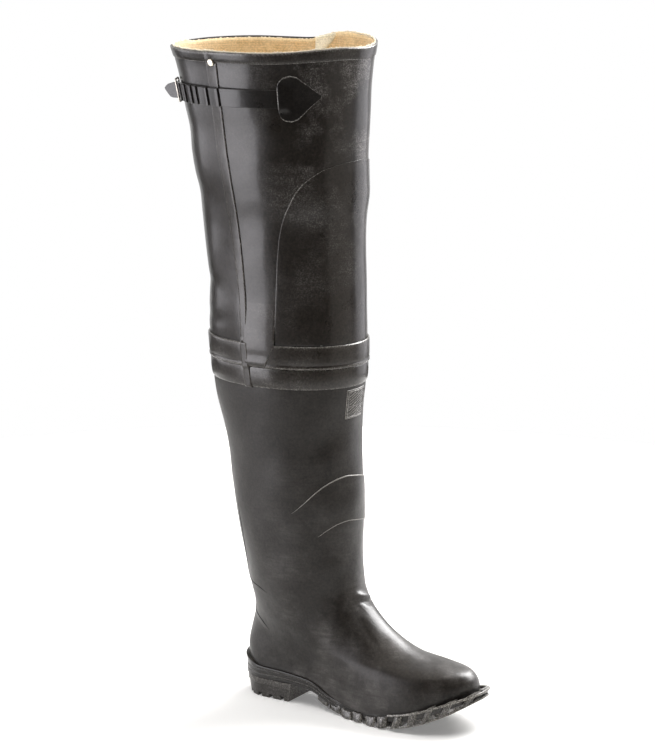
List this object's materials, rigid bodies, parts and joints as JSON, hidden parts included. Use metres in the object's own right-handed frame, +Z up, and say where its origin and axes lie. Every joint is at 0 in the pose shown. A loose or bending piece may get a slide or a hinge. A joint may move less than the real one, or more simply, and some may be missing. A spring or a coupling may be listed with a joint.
{
  "type": "wading boot",
  "caption": "Thigh-length rubber wading boot, hollow from collar to toe, with lugged sole, block heel, knee bands, thigh panel and a buckled side strap.",
  "frame": {"origin": "middle of the heel tread, on the floor", "axes": "+X from heel to toe, +Y towards the inner side of the foot, +Z up the leg"},
  "size_m": [0.4136, 0.199, 0.7842],
  "materials": {
    "boot_rubber": "satin",
    "thigh_rubber": "satin, faintly dusty",
    "trim_rubber": "satin",
    "strap_rubber": "satin",
    "sole_rubber": "matt",
    "insole_canvas": "woven canvas",
    "buckle_steel": "dull",
    "rivet_brass": "plain"
  },
  "bodies": {
    "root": {"upper": "boot_rubber", "thigh_shaft": "thigh_rubber", "thigh_panel": "thigh_rubber", "knee_band": "trim_rubber", "lower_knee_band": "trim_rubber", "collar_binding": "trim_rubber", "side_seam_tape": "trim_rubber", "shin_label": "trim_rubber", "shin_overlay": "boot_rubber", "strap": "strap_rubber", "strap_tab": "strap_rubber", "outsole": "sole_rubber", "heel": "sole_rubber", "insole": "insole_canvas", "buckle_frame": "buckle_steel", "collar_rivet": "rivet_brass"}
  },
  "joints": []
}
